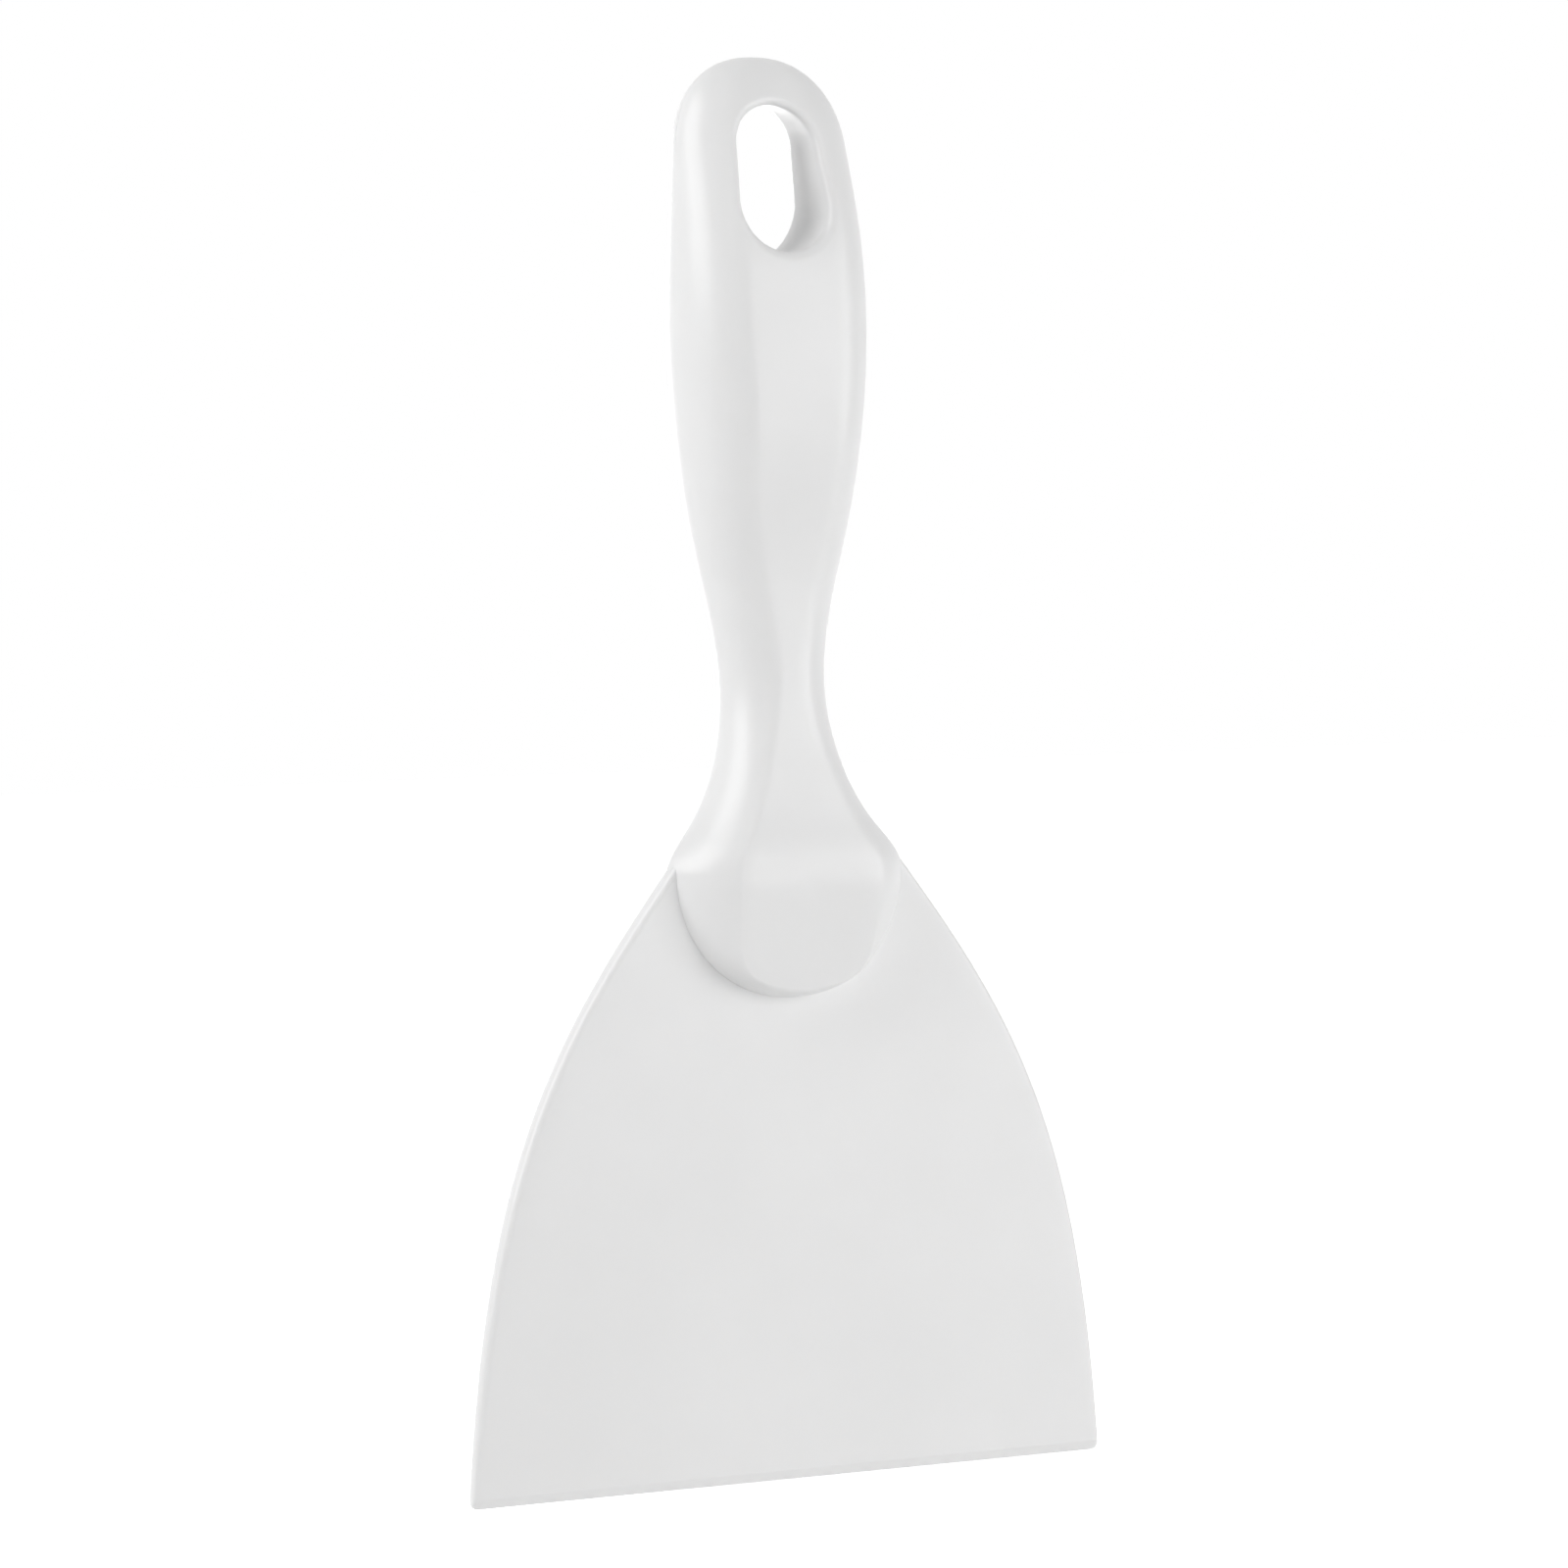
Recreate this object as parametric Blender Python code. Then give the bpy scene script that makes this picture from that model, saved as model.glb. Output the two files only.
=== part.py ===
"""Hand scraper in white moulded plastic: a spade-shaped blade, and the handle moulded over the blade's tang.

It hangs from a hook, with +Z up along the handle and the front of the blade towards -Y. The origin is the
point at the top of the hang hole that rests on the hook. In the functions below, a height is measured up from
the scraping edge and a depth back from the blade's middle plane, and place() turns them into the frame.
"""

import math
from collections import namedtuple

import bmesh
import bpy
import numpy as np

# Blade
BLADE_WIDTH = 0.102  # along the scraping edge
SHOULDER_HEIGHT = 0.0885  # from the scraping edge up to the blade's shoulders
SHOULDER_WIDTH = 0.0385
CORNER_LEAN = math.radians(3.7)  # how far the side leans in where it leaves the corner
SHOULDER_LEAN = math.radians(37.8)  # how far it leans in where it reaches the shoulder
CORNER_REACH = 0.0484  # how long the side keeps the lean of the corner
SHOULDER_REACH = 0.0296
PLATE_THICKNESS = 0.003
TAPER_HEIGHT = 0.045  # below this the plate thins towards the edge
EDGE_THICKNESS = 0.0022  # at the top of the bevel
TIP_THICKNESS = 0.001  # at the scraping edge itself
BEVEL_HEIGHT = 0.0014
CORNER_ROUND = 0.0009

# Tang inside the handle, and the holes that lock the handle to it
TANG_LENGTH = 0.016
TANG_ROOT_WIDTH = 0.024
TANG_TIP_WIDTH = 0.009
TANG_THICKNESS = 0.0026
LAP_HOLE_RADIUS = 0.0032
LAP_HOLE_DROP = 0.0085  # below the shoulders
TANG_HOLE_RADIUS = 0.0024
TANG_HOLE_RISE = 0.0075  # above the shoulders
FIT_GAP = 0.0003  # between the handle's plastic and the blade's

# Handle, with heights above the shoulders and depths in front of and behind the blade's middle plane
HANDLE_RISE = 0.1171
WAIST_RISE = 0.0275
WAIST_WIDTH = 0.0158
WAIST_FRONT = 0.0027
WAIST_BACK = 0.0106
WAIST_FLAT_WIDTH = 0.0022
GRIP_RISE = 0.0785
GRIP_WIDTH = 0.0296
GRIP_FRONT = 0.00585
GRIP_BACK = 0.0139
GRIP_FLAT_WIDTH = 0.0133
CROWN_HEIGHT = 0.013  # of the rounded end
CROWN_WIDTH = 0.0268
CROWN_FRONT = 0.0005
CROWN_BACK = 0.0121
CROWN_FLAT_WIDTH = 0.0114
CROWN_SQUARENESS = 2.3  # 2 makes the crown's outline an ellipse

# Foot of the handle: cheeks over the blade's shoulders, a round lap on each face of the blade, and in front a
# ramp from the lap up to the neck
CHEEK_INSET = 0.00035  # of the cheeks' sides from the blade's shoulders
LAP_INSET = 0.00095  # of the lap's side from the blade's shoulder
LAP_FRONT = 0.0083  # at the foot of the ramp
LAP_TIP_FRONT = 0.0059
LAP_BACK = 0.0088
LAP_TIP_BACK = 0.0076
LAP_FLAT_WIDTH = 0.0218  # of the lap's panels at the shoulders
LAP_RIM_WIDTH = 0.0016  # of the slope from panel to rim at the lap's lowest point
LAP_CORNER_SHARPNESS = 8  # of the panels' corners, where their sides turn in along the rim
FOOT_CREASE = 0.35  # how sharply the panels are set off from the sides at the foot, 0 for not at all
FOOT_SLANT = 0.75  # how straight the sides slant away from them there, 0 for not at all
FOOT_FADE = 0.008  # height above the shoulders over which both fade out
NECK_FRONT = 0.0083
RAMP_DROP = 0.0014  # from the shoulders down to the foot of the ramp
RAMP_RISE = 0.002  # from the shoulders up to its top

# Hang hole: two arcs joined by straight sides, wider at the bottom
HOLE_TOP_WALL = 0.0067  # plastic above the hole
HOLE_TOP_RADIUS = 0.0067
HOLE_BOTTOM_RADIUS = 0.0074
HOLE_CENTRE_SPAN = 0.008
HOLE_TAPER = 0.0009  # how much further out its wall stands at the back than in front
HOLE_FRONT_ROUND = 0.0014
HOLE_BACK_ROUND = 0.0026
HOOK_DEPTH = 0.0062  # of the bearing point, behind the blade's middle plane

# How finely the curved faces are cut
SIDE_STEPS = 11
END_STEPS = 4
FLAT_STEPS = 2
LAP_SIDE_STEPS = 7
CHEEK_STEPS = 3
RING_STEPS = 36
CROWN_STEPS = 9
LAP_STEPS = 24
HOLE_ARC_STEPS = 16
PEG_STEPS = 24
RIM_STEPS = ((1.15, -0.12), (0.3, 0.25), (0.0, 1.0))  # spread and depth of the rim's edges, in rim radii

OVERALL_HEIGHT = SHOULDER_HEIGHT + HANDLE_RISE
HOOK_HEIGHT = OVERALL_HEIGHT - HOLE_TOP_WALL
HOLE_TOP_CENTRE = HOOK_HEIGHT - HOLE_TOP_RADIUS
HOLE_BOTTOM_CENTRE = HOLE_TOP_CENTRE - HOLE_CENTRE_SPAN
CROWN_BASE = OVERALL_HEIGHT - CROWN_HEIGHT
CHEEK_WIDTH = SHOULDER_WIDTH - 2 * CHEEK_INSET
LAP_RADIUS = SHOULDER_WIDTH / 2 - LAP_INSET
RAMP_FOOT = SHOULDER_HEIGHT - RAMP_DROP
RAMP_TOP = SHOULDER_HEIGHT + RAMP_RISE
BEVEL_TOP = max(BEVEL_HEIGHT, CORNER_ROUND)
RIM_COLUMN = FLAT_STEPS + LAP_SIDE_STEPS  # of the columns that columns() returns, the lap's rim

WHITE_PLASTIC = (0.80, 0.80, 0.80, 1.0)
PLASTIC_ROUGHNESS = 0.38

Section = namedtuple("Section", "height half_width front back half_flat")


def between(low, high, share):
    return low + (high - low) * share


def blend(lower, upper, shares):
    """A section between two others, each of its sizes at its own share of the way."""
    return Section(*(between(low, high, share) for low, high, share in zip(lower, upper, shares)))


def handle_sections():
    """The handle's sections from the shoulders to the base of its crown."""
    waist_height = SHOULDER_HEIGHT + WAIST_RISE
    grip_height = SHOULDER_HEIGHT + GRIP_RISE
    foot = Section(SHOULDER_HEIGHT, CHEEK_WIDTH / 2, NECK_FRONT, LAP_BACK, LAP_FLAT_WIDTH / 2)
    waist = Section(waist_height, WAIST_WIDTH / 2, WAIST_FRONT, WAIST_BACK, WAIST_FLAT_WIDTH / 2)
    grip = Section(grip_height, GRIP_WIDTH / 2, GRIP_FRONT, GRIP_BACK, GRIP_FLAT_WIDTH / 2)
    crown = Section(CROWN_BASE, CROWN_WIDTH / 2, CROWN_FRONT, CROWN_BACK, CROWN_FLAT_WIDTH / 2)
    return [
        foot,
        blend(foot, waist, (0.24, 0.405, 0.27, 0.11, 0.33)),
        blend(foot, waist, (0.49, 0.783, 0.6, 0.33, 0.66)),
        blend(foot, waist, (0.75, 0.96, 0.866, 0.67, 0.88)),
        waist,
        blend(waist, grip, (0.2, 0.19, 0.0, 0.39, 0.23)),
        blend(waist, grip, (0.43, 0.565, 0.4, 0.74, 0.645)),
        blend(waist, grip, (0.7, 0.855, 1.02, 1.06, 0.875)),
        grip,
        blend(grip, crown, (0.52, 0.27, 0.35, 0.67, 0.1)),
        crown,
    ]


def spline_through(knots, values):
    """A smooth cubic curve through the knots, level at the first one and free at the last."""
    knots = np.array(knots)
    values = np.array(values)
    steps = np.diff(knots)
    rates = np.diff(values) / steps
    count = len(knots)
    matrix = np.zeros((count, count))
    right = np.zeros(count)
    matrix[0, 0] = 1.0
    matrix[-1, -2:] = (1.0, 2.0)
    right[-1] = 3 * rates[-1]
    for index in range(1, count - 1):
        before, after = steps[index - 1], steps[index]
        matrix[index, index - 1 : index + 2] = (after, 2 * (before + after), before)
        right[index] = 3 * (after * rates[index - 1] + before * rates[index])
    slopes = np.linalg.solve(matrix, right)

    def curve(height):
        height = max(height, knots[0])
        index = min(max(int(np.searchsorted(knots, height)) - 1, 0), count - 2)
        step = steps[index]
        share = (height - knots[index]) / step
        if share > 1:
            return values[-1] + slopes[-1] * (height - knots[-1])
        return (
            values[index] * (1 + 2 * share) * (1 - share) ** 2
            + slopes[index] * step * share * (1 - share) ** 2
            + values[index + 1] * share**2 * (3 - 2 * share)
            + slopes[index + 1] * step * share**2 * (share - 1)
        )

    return curve


SECTIONS = handle_sections()
HEIGHTS = [section.height for section in SECTIONS]
half_width_curve = spline_through(HEIGHTS, [section.half_width for section in SECTIONS])
front_curve = spline_through(HEIGHTS, [-section.front for section in SECTIONS])
back_curve = spline_through(HEIGHTS, [section.back for section in SECTIONS])
flat_curve = spline_through(HEIGHTS, [section.half_flat for section in SECTIONS])


def crown_share(height):
    """0 below the crown, 1 at the very top of the handle."""
    return min(max((height - CROWN_BASE) / CROWN_HEIGHT, 0.0), 1.0)


def half_width_at(height):
    closing = (1 - crown_share(height) ** CROWN_SQUARENESS) ** (1 / CROWN_SQUARENESS)
    return half_width_curve(height) * closing


def front_at(height):
    """Depth of the front face on the centre line: the lap, the ramp above it, then the neck and the grip."""
    if height >= RAMP_TOP:
        return front_curve(height)
    if height > RAMP_FOOT:
        return between(-LAP_FRONT, front_curve(RAMP_TOP), (height - RAMP_FOOT) / (RAMP_TOP - RAMP_FOOT))
    return -between(LAP_FRONT, LAP_TIP_FRONT, (RAMP_FOOT - height) / (LAP_RADIUS - RAMP_DROP))


def back_at(height):
    if height >= SHOULDER_HEIGHT:
        return back_curve(height)
    return between(LAP_BACK, LAP_TIP_BACK, (SHOULDER_HEIGHT - height) / LAP_RADIUS)


def faces_at(height):
    """Depths of the handle's front and back faces on its centre line."""
    middle = (front_at(height) + back_at(height)) / 2
    half = (back_at(height) - front_at(height)) / 2 * math.sqrt(1 - crown_share(height) ** 4)
    return middle - half, middle + half


def flat_at(height):
    """Half width of the handle's nearly flat panels."""
    return flat_curve(height) * half_width_at(height) / half_width_curve(height)


def past_panel(across, height):
    """How far a place is past the panel's edge towards the side of the handle, from 0 to 1."""
    flat = flat_at(height)
    return min(max((abs(across) - flat) / (half_width_at(height) - flat), 0.0), 1.0)


def rounded_off(past, foot):
    """The share of the half thickness that is left: a slant at foot 1, a quarter ellipse at foot 0."""
    return (1 - past ** (2 - FOOT_CREASE * foot)) ** (1 / (2 - FOOT_SLANT * foot))


def roundness(across, height):
    """How much of its full half thickness the handle keeps at a distance from its centre line."""
    above = max(height - SHOULDER_HEIGHT, 0.0)
    return rounded_off(past_panel(across, height), math.exp(-((above / FOOT_FADE) ** 2)))


def handle_depth(across, height, side):
    """Depth of the handle's surface, in front (side -1) or behind (side 1)."""
    front, back = faces_at(height)
    return (front + back) / 2 + side * (back - front) / 2 * roundness(across, height)


def place(across, depth, height):
    """A point of the part's frame."""
    return (across, depth - HOOK_DEPTH, height - HOOK_HEIGHT)


def plastic(name):
    material = bpy.data.materials.new(name)
    material.use_nodes = True
    shader = material.node_tree.nodes["Principled BSDF"]
    shader.inputs["Base Color"].default_value = WHITE_PLASTIC
    shader.inputs["Roughness"].default_value = PLASTIC_ROUGHNESS
    shader.inputs["Metallic"].default_value = 0.0
    return material


def object_from(mesh, name, material=None):
    """A new object of this bmesh, with its faces pointing out."""
    bmesh.ops.remove_doubles(mesh, verts=mesh.verts, dist=1e-6)
    bmesh.ops.recalc_face_normals(mesh, faces=mesh.faces)
    data = bpy.data.meshes.new(name)
    mesh.to_mesh(data)
    mesh.free()
    data.shade_smooth()
    data.set_sharp_from_angle(angle=math.radians(35))
    made = bpy.data.objects.new(name, data)
    bpy.context.scene.collection.objects.link(made)
    if material:
        data.materials.append(material)
    else:
        made.hide_render = True
        made.display_type = "WIRE"
    return made


def cut(target, cutter):
    modifier = target.modifiers.new("cut " + cutter.name, "BOOLEAN")
    modifier.operation = "DIFFERENCE"
    modifier.object = cutter


def bridge(mesh, rings, closed=True):
    """Quads between each ring of vertices and the next."""
    for lower, upper in zip(rings, rings[1:]):
        count = len(lower)
        for index in range(count if closed else count - 1):
            after = (index + 1) % count
            corners = [lower[index], lower[after], upper[after], upper[index]]
            if len(set(corners)) >= 3:
                mesh.faces.new(dict.fromkeys(corners))


def side_point(share):
    """Half width and height on the blade's side, a Bezier curve from the corner to the shoulder."""
    corner = np.array((BLADE_WIDTH / 2, 0.0))
    shoulder = np.array((SHOULDER_WIDTH / 2, SHOULDER_HEIGHT))
    leaving = corner + CORNER_REACH * np.array((-math.sin(CORNER_LEAN), math.cos(CORNER_LEAN)))
    arriving = shoulder - SHOULDER_REACH * np.array((-math.sin(SHOULDER_LEAN), math.cos(SHOULDER_LEAN)))
    rest = 1 - share
    ends = rest**3 * corner + share**3 * shoulder
    return ends + 3 * rest**2 * share * leaving + 3 * rest * share**2 * arriving


def plate_half_width(height):
    """Half width of the blade at a height, with the corner rounded off."""
    low, high = 0.0, 1.0
    for _ in range(40):
        share = (low + high) / 2
        if side_point(share)[1] < height:
            low = share
        else:
            high = share
    into_corner = max(CORNER_ROUND - height, 0.0)
    return side_point(low)[0] - CORNER_ROUND + math.sqrt(CORNER_ROUND**2 - into_corner**2)


def plate_thickness(height):
    if height < BEVEL_TOP:
        return between(TIP_THICKNESS, EDGE_THICKNESS, height / BEVEL_TOP)
    share = min((height - BEVEL_TOP) / (TAPER_HEIGHT - BEVEL_TOP), 1.0)
    return between(EDGE_THICKNESS, PLATE_THICKNESS, share)


def plate_ring(mesh, half_width, thickness, height):
    """One level section of a plate: flat faces between half-round sides."""
    radius = thickness / 2
    ring = []
    for sign in (1, -1):
        for step in range(2 * END_STEPS + 1):
            angle = math.pi * (step / (2 * END_STEPS) - 0.5)
            across = sign * (half_width - radius + radius * math.cos(angle))
            ring.append(mesh.verts.new(place(across, sign * radius * math.sin(angle), height)))
    return ring


def plate_heights():
    """Heights of the blade's sections, from the scraping edge to the shoulders."""
    corner = [CORNER_ROUND * (1 - math.cos(turn * math.pi / 2)) for turn in (0.0, 0.35, 0.7)]
    lower = [between(BEVEL_TOP, TAPER_HEIGHT, step / SIDE_STEPS) for step in range(SIDE_STEPS)]
    upper = [between(TAPER_HEIGHT, SHOULDER_HEIGHT, step / SIDE_STEPS) for step in range(SIDE_STEPS + 1)]
    return corner + lower + upper


def plate_mesh(side_gap, face_gap):
    """The blade with its tang, or the room for them when the gaps are not nought."""
    mesh = bmesh.new()
    extra = 2 * face_gap
    rings = [
        plate_ring(mesh, plate_half_width(height) + side_gap, plate_thickness(height) + extra, height)
        for height in plate_heights()
    ]
    shoulder = SHOULDER_HEIGHT + face_gap
    if face_gap:
        rings.append(plate_ring(mesh, SHOULDER_WIDTH / 2 + side_gap, PLATE_THICKNESS + extra, shoulder))
    tang = TANG_THICKNESS + extra
    tip = SHOULDER_HEIGHT + TANG_LENGTH + face_gap
    rings.append(plate_ring(mesh, TANG_ROOT_WIDTH / 2 + face_gap, tang, shoulder))
    rings.append(plate_ring(mesh, TANG_TIP_WIDTH / 2 + face_gap, tang, tip))
    bridge(mesh, rings)
    mesh.faces.new(rings[0])
    mesh.faces.new(rings[-1])
    return mesh


def peg_mesh(radius, height, reach):
    """A round bar through the blade from front to back."""
    mesh = bmesh.new()
    rings = []
    for depth in (-reach, reach):
        ring = []
        for step in range(PEG_STEPS):
            angle = 2 * math.pi * step / PEG_STEPS
            point = place(radius * math.cos(angle), depth, height + radius * math.sin(angle))
            ring.append(mesh.verts.new(point))
        rings.append(ring)
    bridge(mesh, rings)
    mesh.faces.new(rings[0])
    mesh.faces.new(rings[1])
    return mesh


def locking_holes():
    """Name, radius and height of each hole that the handle's plastic runs through."""
    return [
        ("lap", LAP_HOLE_RADIUS, SHOULDER_HEIGHT - LAP_HOLE_DROP),
        ("tang", TANG_HOLE_RADIUS, SHOULDER_HEIGHT + TANG_HOLE_RISE),
    ]


def make_blade():
    blade = object_from(plate_mesh(0.0, 0.0), "blade", plastic("blade plastic"))
    for name, radius, height in locking_holes():
        cut(blade, object_from(peg_mesh(radius, height, 2 * PLATE_THICKNESS), name + " hole cutter"))
    return blade


def columns():
    """Shares of the way from the centre line over the flat (up to 1) and round the side (up to 2).

    The column after the lap's side steps is the one that leaves the neck for the lap's rim.
    """
    panel = LAP_FLAT_WIDTH / 2
    rim = 1 + math.asin((LAP_RADIUS - panel) / (CHEEK_WIDTH / 2 - panel)) * 2 / math.pi
    flat = [step / FLAT_STEPS for step in range(FLAT_STEPS)]
    lap = [between(1, rim, step / LAP_SIDE_STEPS) for step in range(LAP_SIDE_STEPS)]
    return flat + lap + [between(rim, 2, step / CHEEK_STEPS) for step in range(CHEEK_STEPS + 1)]


def across_at(column, height):
    """Distance from the centre line of one column of vertices."""
    flat = flat_at(height)
    if column <= 1:
        return flat * column
    return flat + (half_width_at(height) - flat) * math.sin((column - 1) * math.pi / 2)


def handle_ring(mesh, height):
    """One level section above the shoulders, once round from the right side over the back."""
    ring = []
    rising = columns()
    quarters = (
        (1, 1, rising[::-1]),
        (1, -1, rising[1:]),
        (-1, -1, rising[-2::-1]),
        (-1, 1, rising[1:-1]),
    )
    for side, sign, order in quarters:
        for column in order:
            across = sign * across_at(column, height)
            ring.append(mesh.verts.new(place(across, handle_depth(across, height, side), height)))
    return ring


def handle_heights():
    """Heights of the sections: even from the ramp up to the crown, then closing in as on a dome."""
    even = [between(RAMP_TOP, CROWN_BASE, step / RING_STEPS) for step in range(RING_STEPS)]
    turns = [step / CROWN_STEPS * math.pi / 2 for step in range(CROWN_STEPS)]
    dome = [CROWN_BASE + CROWN_HEIGHT * math.sin(turn) for turn in turns]
    return [SHOULDER_HEIGHT, between(SHOULDER_HEIGHT, RAMP_TOP, 0.5)] + even + dome


def panel_reach(turn):
    """How far the lap's panel runs from the centre: to its upright edges, which turn in along the rim."""
    side = abs(math.cos(turn)) / (LAP_FLAT_WIDTH / 2)
    rim = 1 / (LAP_RADIUS - LAP_RIM_WIDTH)
    corner = side**LAP_CORNER_SHARPNESS + math.sin(turn) * rim**LAP_CORNER_SHARPNESS
    return corner ** (-1 / LAP_CORNER_SHARPNESS)


def lap_point(column, turn, side):
    """A point of the lap: one column of the foot's section, turned down round the lap's centre."""
    panel = LAP_FLAT_WIDTH / 2
    across = across_at(column, SHOULDER_HEIGHT)
    slope_share = max(across - panel, 0.0) / (LAP_RADIUS - panel)
    radius = between(min(column, 1) * panel_reach(turn), LAP_RADIUS, slope_share)
    height = SHOULDER_HEIGHT - radius * math.sin(turn)
    front, back = faces_at(height)
    kept = rounded_off(past_panel(across, SHOULDER_HEIGHT), math.cos(turn) ** 2)
    return place(radius * math.cos(turn), (front + back) / 2 + side * (back - front) / 2 * kept, height)


def lap_fan(mesh, ring, side):
    """The face of one lap: an arc below the shoulders for each column up to the rim. Returns the last one."""
    count = len(columns())
    half = 2 * (count - 1)
    arcs = []
    for index, column in enumerate(columns()[1 : RIM_COLUMN + 1], 1):
        if side > 0:
            right, left = ring[count - 1 - index], ring[count - 1 + index]
        else:
            right = ring[(half + count - 1 + index) % (2 * half)]
            left = ring[half + count - 1 - index]
        turns = (math.pi * step / LAP_STEPS for step in range(1, LAP_STEPS))
        arc = [mesh.verts.new(lap_point(column, turn, side)) for turn in turns]
        arcs.append([right] + arc + [left])
    centre = ring[count - 1] if side > 0 else ring[half + count - 1]
    for first, second in zip(arcs[0], arcs[0][1:]):
        mesh.faces.new((centre, first, second))
    bridge(mesh, arcs, closed=False)
    return arcs[-1]


def close_cheeks(mesh, ring):
    """The underside of each cheek, from the lap's front rim over the handle's outline to its back rim."""
    reach = len(columns()) - 1 - RIM_COLUMN
    for middle in (0, len(ring) // 2):
        mesh.faces.new([ring[index] for index in range(middle - reach, middle + reach + 1)])


def handle_mesh():
    """The whole outside of the handle, closed, before the blade's room and the hole are cut."""
    mesh = bmesh.new()
    rings = [handle_ring(mesh, height) for height in handle_heights()]
    bridge(mesh, rings)
    middle_depth = sum(faces_at(OVERALL_HEIGHT)) / 2
    apex = mesh.verts.new(place(0.0, middle_depth, OVERALL_HEIGHT))
    for first, second in zip(rings[-1], rings[-1][1:] + rings[-1][:1]):
        mesh.faces.new((first, second, apex))
    front_rim = lap_fan(mesh, rings[0], -1)
    back_rim = lap_fan(mesh, rings[0], 1)
    bridge(mesh, [front_rim, back_rim], closed=False)
    close_cheeks(mesh, rings[0])
    return mesh


def hole_outline(spread):
    """Points round the hang hole, moved outwards by the spread."""
    lean = math.asin((HOLE_BOTTOM_RADIUS - HOLE_TOP_RADIUS) / HOLE_CENTRE_SPAN)
    points = []
    for centre, radius, start, sweep in (
        (HOLE_TOP_CENTRE, HOLE_TOP_RADIUS, lean, math.pi - 2 * lean),
        (HOLE_BOTTOM_CENTRE, HOLE_BOTTOM_RADIUS, math.pi - lean, math.pi + 2 * lean),
    ):
        for step in range(HOLE_ARC_STEPS + 1):
            angle = start + sweep * step / HOLE_ARC_STEPS
            reach = radius + spread
            points.append((reach * math.cos(angle), centre + reach * math.sin(angle)))
    return points


def hole_ring(mesh, spread, side, sunk):
    """The hole's outline, spread outwards and sunk below the handle's surface on one side."""
    ring = []
    for across, height in hole_outline(spread):
        depth = handle_depth(across, height, side) - side * sunk
        ring.append(mesh.verts.new(place(across, depth, height)))
    return ring


def hole_mesh():
    """The hang hole, its rims rounded in straight steps, running on past both faces of the handle."""
    mesh = bmesh.new()
    rings = []
    for side, radius in ((-1, HOLE_FRONT_ROUND), (1, HOLE_BACK_ROUND)):
        steps = [(side * HOLE_TAPER / 2 + radius * spread, radius * sunk) for spread, sunk in RIM_STEPS]
        half = [hole_ring(mesh, spread, side, sunk) for spread, sunk in steps]
        widest = hole_outline(steps[0][0])
        outside = [place(across, side * 2 * GRIP_BACK, height) for across, height in widest]
        half.insert(0, [mesh.verts.new(point) for point in outside])
        rings += half if side < 0 else half[::-1]
    bridge(mesh, rings)
    mesh.faces.new(rings[0])
    mesh.faces.new(rings[-1])
    return mesh


def make_handle():
    handle = object_from(handle_mesh(), "handle", plastic("handle plastic"))
    room = object_from(plate_mesh(LAP_RADIUS, FIT_GAP), "blade room")
    for name, radius, height in locking_holes():
        cut(room, object_from(peg_mesh(radius - FIT_GAP, height, 2 * PLATE_THICKNESS), name + " peg"))
    cut(handle, room)
    cut(handle, object_from(hole_mesh(), "hang hole cutter"))
    return handle


def clear_scene():
    for old in list(bpy.data.objects):
        bpy.data.objects.remove(old, do_unlink=True)


def main():
    clear_scene()
    frame = bpy.data.objects.new("scraper", None)
    bpy.context.scene.collection.objects.link(frame)
    make_blade().parent = frame
    make_handle().parent = frame


main()
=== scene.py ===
"""Looks of a hand scraper in white moulded plastic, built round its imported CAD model.

The part hangs from its hook point, which is the origin, with +Z up and the front of the blade towards -Y.
As in the CAD model, a height is measured up from the scraping edge and a depth back from the blade's middle
plane, and place() turns them into the frame. All sizes are in metres.
"""

import math
from collections import namedtuple

import bmesh
import bpy
import numpy as np
from mathutils import Euler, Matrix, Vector


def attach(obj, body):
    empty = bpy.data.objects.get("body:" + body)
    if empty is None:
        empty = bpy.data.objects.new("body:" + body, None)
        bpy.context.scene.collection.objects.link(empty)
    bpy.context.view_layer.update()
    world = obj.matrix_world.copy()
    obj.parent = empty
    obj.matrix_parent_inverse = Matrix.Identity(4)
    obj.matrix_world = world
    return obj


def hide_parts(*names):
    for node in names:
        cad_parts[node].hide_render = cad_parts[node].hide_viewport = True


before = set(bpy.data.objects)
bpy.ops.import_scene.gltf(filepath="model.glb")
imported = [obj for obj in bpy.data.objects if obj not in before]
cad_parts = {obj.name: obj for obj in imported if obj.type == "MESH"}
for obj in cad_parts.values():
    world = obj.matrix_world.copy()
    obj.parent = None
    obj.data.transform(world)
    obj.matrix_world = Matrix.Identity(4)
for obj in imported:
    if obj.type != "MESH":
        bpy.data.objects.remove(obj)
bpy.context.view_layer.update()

# Blade
BLADE_WIDTH = 0.102
SHOULDER_HEIGHT = 0.0885
SHOULDER_WIDTH = 0.0385
CORNER_LEAN = math.radians(3.7)
SHOULDER_LEAN = math.radians(37.8)
CORNER_REACH = 0.0484
SHOULDER_REACH = 0.0296
PLATE_THICKNESS = 0.003
TAPER_HEIGHT = 0.045
EDGE_THICKNESS = 0.0022
TIP_THICKNESS = 0.001
BEVEL_HEIGHT = 0.0014
CORNER_ROUND = 0.0009
SIDE_ROUND = 0.0016  # width of the rounding along the blade's sides
SIDE_SQUARENESS = 3.0  # 2 makes that rounding an ellipse
BEVEL_ANGLE = math.radians(18)  # edges of the blade that turn more than this stay crisp
BURIED_SHOULDER = 0.0012  # height by which the blade's sides run on up into the handle

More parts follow.
